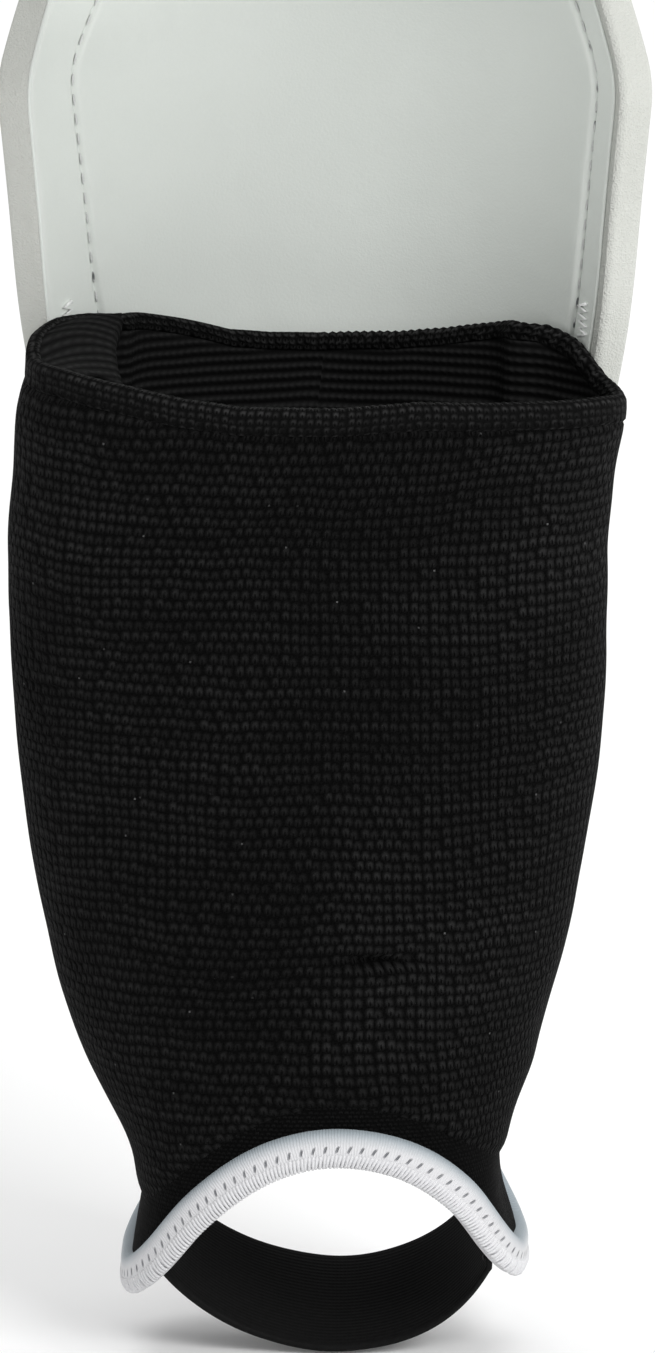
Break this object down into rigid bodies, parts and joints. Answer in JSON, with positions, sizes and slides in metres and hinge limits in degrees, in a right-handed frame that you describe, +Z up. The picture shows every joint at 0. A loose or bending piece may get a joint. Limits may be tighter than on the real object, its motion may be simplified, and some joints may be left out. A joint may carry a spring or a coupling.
{
  "type": "shin guard",
  "caption": "Curved padded shin guard with a white hard shell and lining, a black knitted ankle sleeve, a stirrup under the foot and a hook-and-loop calf strap.",
  "frame": {"origin": "on the leg axis at sole level, where the stirrup passes under the foot", "axes": "+Z up the leg, +Y to the front of the shin, +X to the right seen from the calf"},
  "size_m": [0.1436, 0.1445, 0.348],
  "materials": {
    "white_lining": "matte",
    "white_foam": "matte",
    "white_shell": "gloss",
    "white_thread": "matte",
    "white_edging": "matte",
    "black_knit": "matte",
    "black_cuff": "matte",
    "black_elastic": "matte",
    "black_hook": "matte",
    "black_thread": "matte"
  },
  "bodies": {
    "guard": {"leg_lining": "white_lining", "foam_backing": "white_foam", "shin_shell": "white_shell", "shell_seam_left": "white_thread", "shell_seam_right": "white_thread", "sleeve_tack_left": "white_thread", "sleeve_tack_right": "white_thread", "sleeve_rim_hem": "black_knit", "sleeve_outer_upper": "black_knit", "sleeve_inner_upper": "black_knit", "strap_root": "black_elastic", "strap_stub": "black_elastic", "strap_stitching_left": "black_thread", "strap_stitching_right": "black_thread"},
    "ankle_sleeve": {"sleeve_outer_lower": "black_knit", "sleeve_inner_lower": "black_knit", "heel_cuff": "black_cuff", "cuff_edging": "white_edging"},
    "stirrup": {"stirrup_strap": "black_cuff", "stirrup_tack_left": "black_thread", "stirrup_tack_right": "black_thread"},
    "strap": {"calf_strap": "black_elastic"},
    "tab": {"strap_tab": "black_elastic", "hook_patch": "black_hook"}
  },
  "joints": [
    {"name": "ankle_flex", "type": "hinge", "parent": "guard", "child": "ankle_sleeve", "pos_m": [0, 0, 0.115], "axis": [1, 0, 0], "range_deg": [-20, 15], "stiffness_Nm_per_rad": 0.3},
    {"name": "stirrup_swing", "type": "hinge", "parent": "ankle_sleeve", "child": "stirrup", "pos_m": [0, 0, 0.0247], "axis": [1, 0, 0], "range_deg": [-35, 30], "stiffness_Nm_per_rad": 0.02},
    {"name": "calf_strap_opening", "type": "hinge", "parent": "guard", "child": "strap", "pos_m": [-0.0702, -0.02, 0.321], "axis": [0, 0, -1], "range_deg": [0, 110]},
    {"name": "strap_tab_peel", "type": "hinge", "parent": "strap", "child": "tab", "pos_m": [0.04222, -0.07977, 0.321], "axis": [0, 0, -1], "range_deg": [0, 120]}
  ]
}
